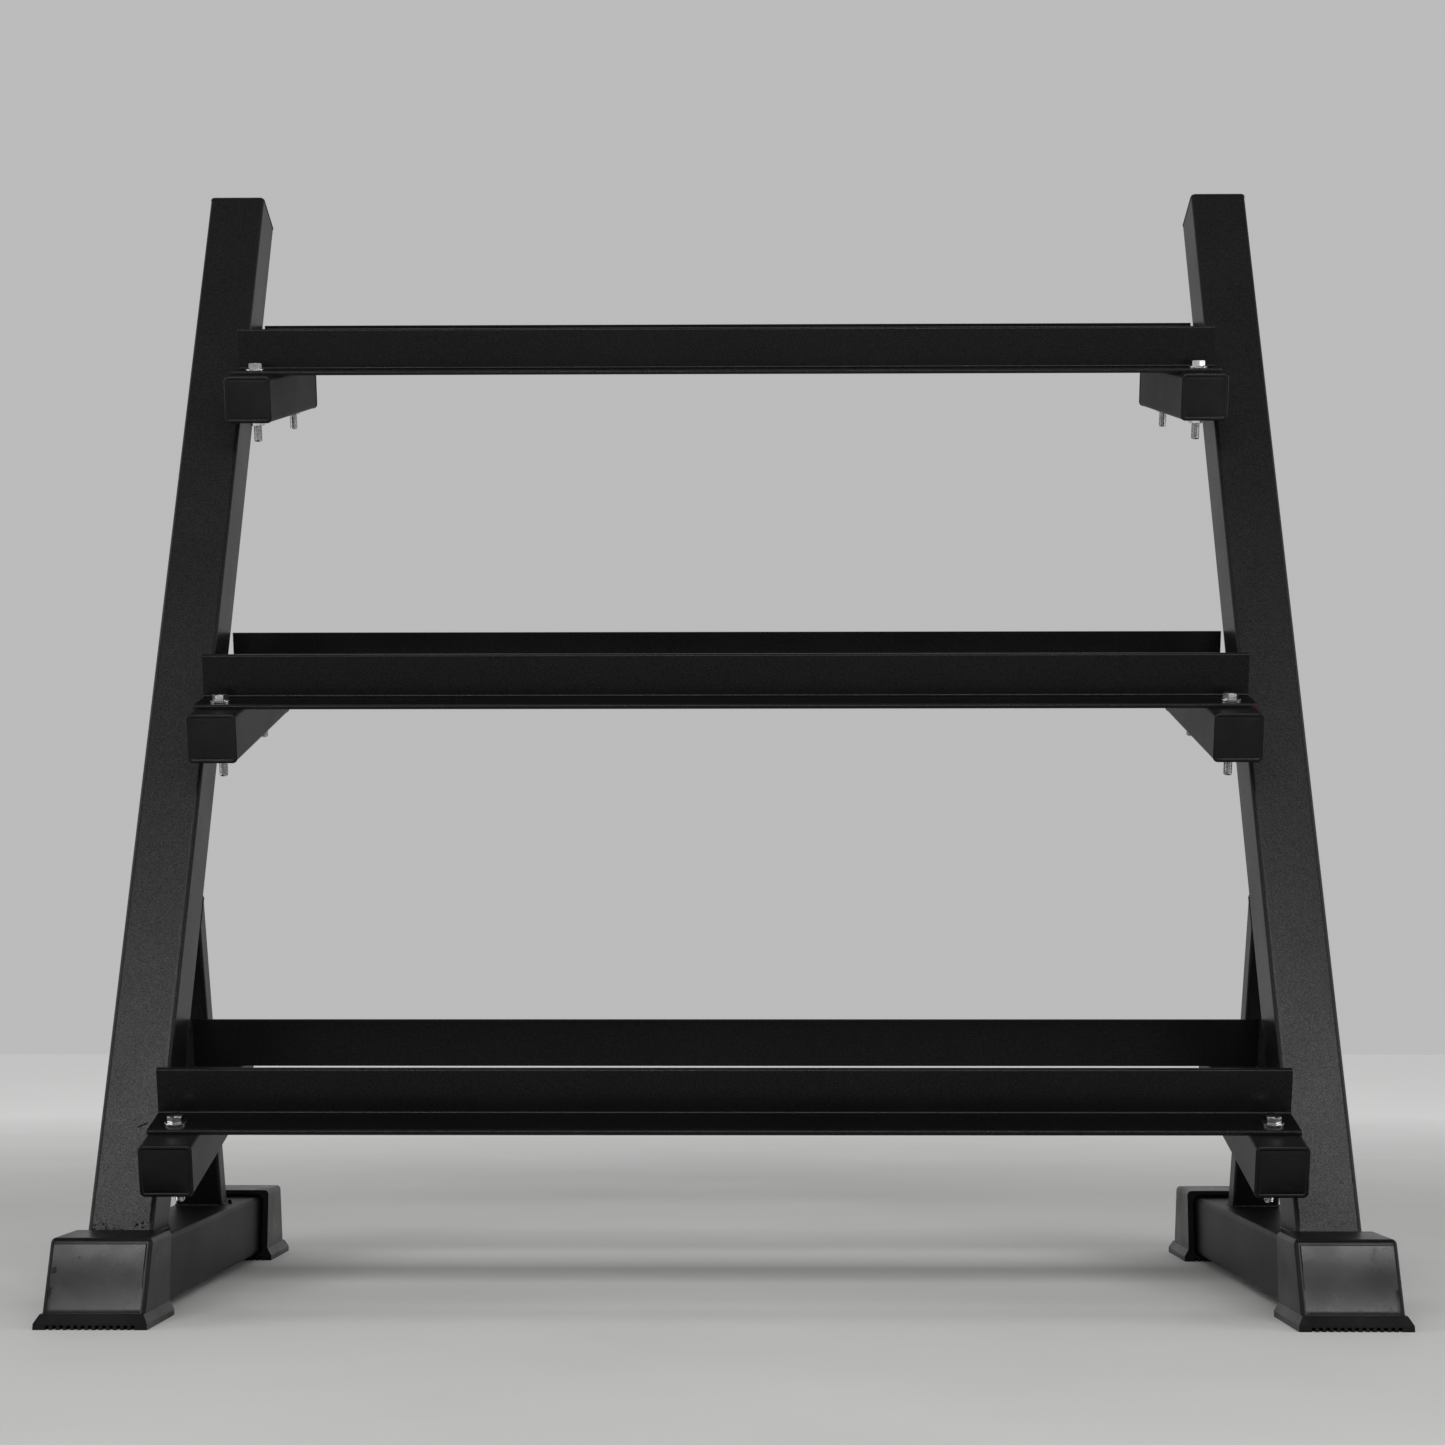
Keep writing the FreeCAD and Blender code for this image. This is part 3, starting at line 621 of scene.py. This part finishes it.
def brace_seam(side):
    """Loop where the head of the rear brace lies against the back of the upright."""
    low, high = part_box("rear_brace_" + side)
    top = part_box("base_tube_" + side)[1].z
    run = BRACE_DEPTH / math.cos(RAKE)
    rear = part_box("upright_" + side)[0].y + upright_width(side) / math.cos(LEAN)
    inset = 1.5 * MM
    ay, az = meet((high.y - run + inset, top), -RAKE, (rear, top), LEAN)
    by, bz = meet((high.y - inset, top), -RAKE, (rear, top), LEAN)
    left, right = low.x + inset, high.x - inset
    corners = ((left, ay, az), (right, ay, az), (right, by, bz), (left, by, bz))
    return [Vector(p) for p in corners]


def build_beads(name, loops, radius, material):
    def build(bm):
        for loop in loops:
            add_weld(bm, loop, radius)

    make_piece(name, new_mesh(name, build), material, smooth=80.0)


def build_welds(tiers, material):
    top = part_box("base_tube_left")[1].z
    for side in SIDES:
        feet = (
            foot_outline("upright_" + side, LEAN, top, upright_width(side)),
            foot_outline("rear_brace_" + side, RAKE, top, BRACE_DEPTH),
        )
        build_beads("weld_beads_feet_" + side, feet, 2.2 * MM, material)
        head = [brace_seam(side)]
        build_beads("weld_bead_brace_head_" + side, head, 2.0 * MM, material)
        for tier in tiers:
            name = "weld_bead_arm_%s_%s" % (tier.name, side)
            build_beads(name, [arm_seam(tier, side)], 2.3 * MM, material)


def build_weld_pit(material):
    """Small crater left at the inner rear corner of the left brace foot."""
    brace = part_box("rear_brace_left")[1]
    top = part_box("base_tube_left")[1].z
    spot = Vector((brace.x + 2.0 * MM, brace.y + 1.0 * MM, top + 1.8 * MM))
    matrix = Matrix.Translation(spot) @ Matrix.Rotation(math.radians(80), 4, "X")
    profile = [(2.5, -2.0), (2.4, 0.1), (2.0, 0.7), (1.5, 0.6), (1.2, -0.1), (0.7, -1.4)]
    points = [(r * MM, z * MM) for r, z in profile]
    mesh = new_mesh("weld_pit", lambda bm: add_turned(bm, points, matrix, 28))
    make_piece("weld_pit_brace_left", mesh, material, smooth=60.0)


# ---------------------------------------------------------------- dressing the frame

def dress(node, material, bevel=0.0):
    """New finish and slightly softened edges for a node that keeps its CAD shape."""
    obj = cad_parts[node]
    obj.data.materials.clear()
    obj.data.materials.append(material)
    if bevel:
        edge = obj.modifiers.new("soft_edges", "BEVEL")
        edge.width = bevel
        edge.segments = 2
        edge.limit_method = "ANGLE"
        edge.angle_limit = math.radians(30.0)


# ---------------------------------------------------------------- stage

def add_floor():
    """Pale floor that glows faintly far behind the rack, to meet the background evenly."""
    def build(bm):
        bmesh.ops.create_grid(bm, x_segments=1, y_segments=1, size=9.0)

    mesh = new_mesh("floor", build)
    floor = bpy.data.objects.new("floor", mesh)
    bpy.context.scene.collection.objects.link(floor)
    n = Nodes("pale_floor")
    tone = n.ramp(n.noise(3.0, 3.0), 0.3, 0.7)
    n.link(n.mix(tone, (0.62, 0.62, 0.61), (0.66, 0.66, 0.65)), n.shader.inputs["Base Color"])
    n.shader.inputs["Roughness"].default_value = 0.7
    n.shader.inputs["Emission Color"].default_value = (1.0, 1.0, 1.0, 1.0)
    glow = n.ramp(n.near((0.0, -3.0, 0.0), 6.5), 0.0, 0.385, 0.36, 0.0)
    n.link(glow, n.shader.inputs["Emission Strength"])
    floor.data.materials.append(n.material)


def add_world():
    """Even pale surroundings up to roof height, dimmer overhead."""
    world = bpy.data.worlds.new("studio")
    bpy.context.scene.world = world
    world.use_nodes = True
    tree = world.node_tree
    back = tree.nodes["Background"]
    where = tree.nodes.new("ShaderNodeTexCoord")
    split = tree.nodes.new("ShaderNodeSeparateXYZ")
    tree.links.new(where.outputs["Generated"], split.inputs["Vector"])
    fall = tree.nodes.new("ShaderNodeMapRange")
    fall.interpolation_type = "SMOOTHSTEP"
    set_range(fall, 0.42, 0.75, 0.50, 0.06)
    tree.links.new(split.outputs["Z"], fall.inputs["Value"])
    tree.links.new(fall.outputs["Result"], back.inputs["Color"])
    back.inputs["Strength"].default_value = 1.0


def add_light(name, spot, aim, size, power):
    data = bpy.data.lights.new(name, "AREA")
    data.shape = "RECTANGLE"
    data.size, data.size_y = size
    data.energy = power
    light = bpy.data.objects.new(name, data)
    bpy.context.scene.collection.objects.link(light)
    light.location = spot
    light.rotation_euler = (Vector(aim) - Vector(spot)).to_track_quat("-Z", "Y").to_euler()


def add_camera():
    data = bpy.data.cameras.new("camera")
    data.sensor_width = 36.0
    data.lens = 56.9
    camera = bpy.data.objects.new("camera", data)
    bpy.context.scene.collection.objects.link(camera)
    camera.location = (0.0246, -2.4353, 0.304)
    pitch, yaw = math.radians(6.74), math.radians(-0.64)
    turn = Matrix.Rotation(-yaw, 4, "Z") @ Matrix.Rotation(math.pi / 2 + pitch, 4, "X")
    camera.rotation_euler = turn.to_euler()
    bpy.context.scene.camera = camera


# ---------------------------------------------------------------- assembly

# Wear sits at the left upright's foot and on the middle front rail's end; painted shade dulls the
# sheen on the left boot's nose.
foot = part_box("upright_left")[0]
foot_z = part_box("base_tube_left")[1].z
chips = [
    ((foot.x + 0.013, foot.y + 0.002, foot_z + 0.005), 0.016),
    ((foot.x + 0.030, foot.y + 0.001, foot_z + 0.003), 0.012),
    ((foot.x + 0.052, foot.y + 0.002, foot_z + 0.006), 0.014),
]
scratch_spot = (foot.x + 0.0425, foot.y + 0.033, foot_z + 0.102)
scratches = [(scratch_spot, math.radians(23), 0.0075, 0.0011)]
rail_low, rail_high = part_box("rail_front_mid")
rust = [((rail_high.x - 0.002, rail_low.y + 0.001, rail_low.z + 0.001), 0.005)]
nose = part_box("boot_front_left")[0]
# Spots of painted shade on the left boot's nose, where its sheen is dulled.
nose_shade_spots = [
    ((nose.x + 0.012, nose.y + 0.022, 0.050), 0.009),
    ((nose.x + 0.034, nose.y + 0.024, 0.061), 0.005),
    ((nose.x + 0.010, nose.y + 0.018, 0.036), 0.006),
]
coat = powder_coat(
    "black_powder_coat", base=(0.0038, 0.0038, 0.0036), light=(0.018, 0.018, 0.018),
    rough=0.35, peel=1.2, shine=0.20, chips=chips, scratches=scratches,
)
# Copy of the powder coat with less sheen for the base tubes: painted shade against the pale floor's
# reflection on their sides.
base_coat = powder_coat(
    "base_powder_coat", base=(0.0046, 0.0046, 0.0044), light=(0.014, 0.014, 0.014),
    rough=0.42, peel=1.0, shine=0.11,
)
# One powder coat with less sheen on each higher tier: painted shade that darkens the upper arms.
arm_coats = {
    name: powder_coat(
        "arm_powder_coat_" + name, base=(0.0044, 0.0044, 0.0042), light=(0.014, 0.014, 0.014),
        rough=0.42, peel=1.0, shine=shine,
    )
    for name, shine in (("low", 0.22), ("mid", 0.10), ("top", 0.04))
}
rail_coat = powder_coat(
    "rail_powder_coat", base=(0.0034, 0.0036, 0.0036), light=(0.007, 0.007, 0.007),
    rough=0.28, peel=0.8, shine=0.13, rust=rust,
)
plastic = moulded_plastic(
    "boot_plastic", base=(0.0050, 0.0050, 0.0050), rough=0.30, grain=1.0, shine=0.14,
)
panel_plastic = moulded_plastic(
    "boot_panel_plastic", base=(0.0050, 0.0050, 0.0050), rough=0.27, grain=1.0, shine=0.25,
    nose_shade_spots=nose_shade_spots,
)
cap_plastic = moulded_plastic(
    "cap_plastic", base=(0.0030, 0.0030, 0.0030), rough=0.34, grain=0.6, shine=0.18,
)
zinc = zinc_plate("bright_zinc")

tiers = [Tier(name) for name in TIERS]
for side in SIDES:
    dress("base_tube_" + side, base_coat)
    for node in ("upright_", "rear_brace_"):
        dress(node + side, coat)
    for end in ("front", "rear"):
        dress("boot_%s_%s" % (end, side), plastic, 0.5 * MM)
        boot_panel(side, end, panel_plastic)
    build_cap("upright_cap_" + side, upright_cap_matrix(side), upright_width(side), cap_plastic)
for tier in tiers:
    for side in SIDES:
        dress("arm_%s_%s" % (tier.name, side), arm_coats[tier.name])
        for end in ("front", "rear"):
            node = "arm_cap_%s_%s_%s" % (end, tier.name, side)
            build_cap(node, arm_cap_matrix(tier, side, end), tier.arm, cap_plastic)
    for end in ("front", "rear"):
        dress("rail_%s_%s" % (end, tier.name), rail_coat, 0.4 * MM)
    build_bolts(tier, zinc)
    build_washers(tier, zinc)
    build_nuts(tier, zinc)
build_welds(tiers, coat)
build_weld_pit(coat)

add_floor()
add_world()
add_light("key", (0.0, -4.6, 2.7), (0, 0, 0.2), (5.0, 1.0), 190.0)
add_light("left_fill", (-3.4, -0.6, 1.6), (0, 0, 0.6), (2.0, 2.0), 20.0)
add_light("right_fill", (3.4, -0.6, 1.6), (0, 0, 0.6), (2.0, 2.0), 20.0)
add_light("top", (0, 0.6, 4.0), (0, 0, 0), (3.0, 2.0), 20.0)
add_camera()
bpy.context.scene.view_settings.view_transform = "Standard"
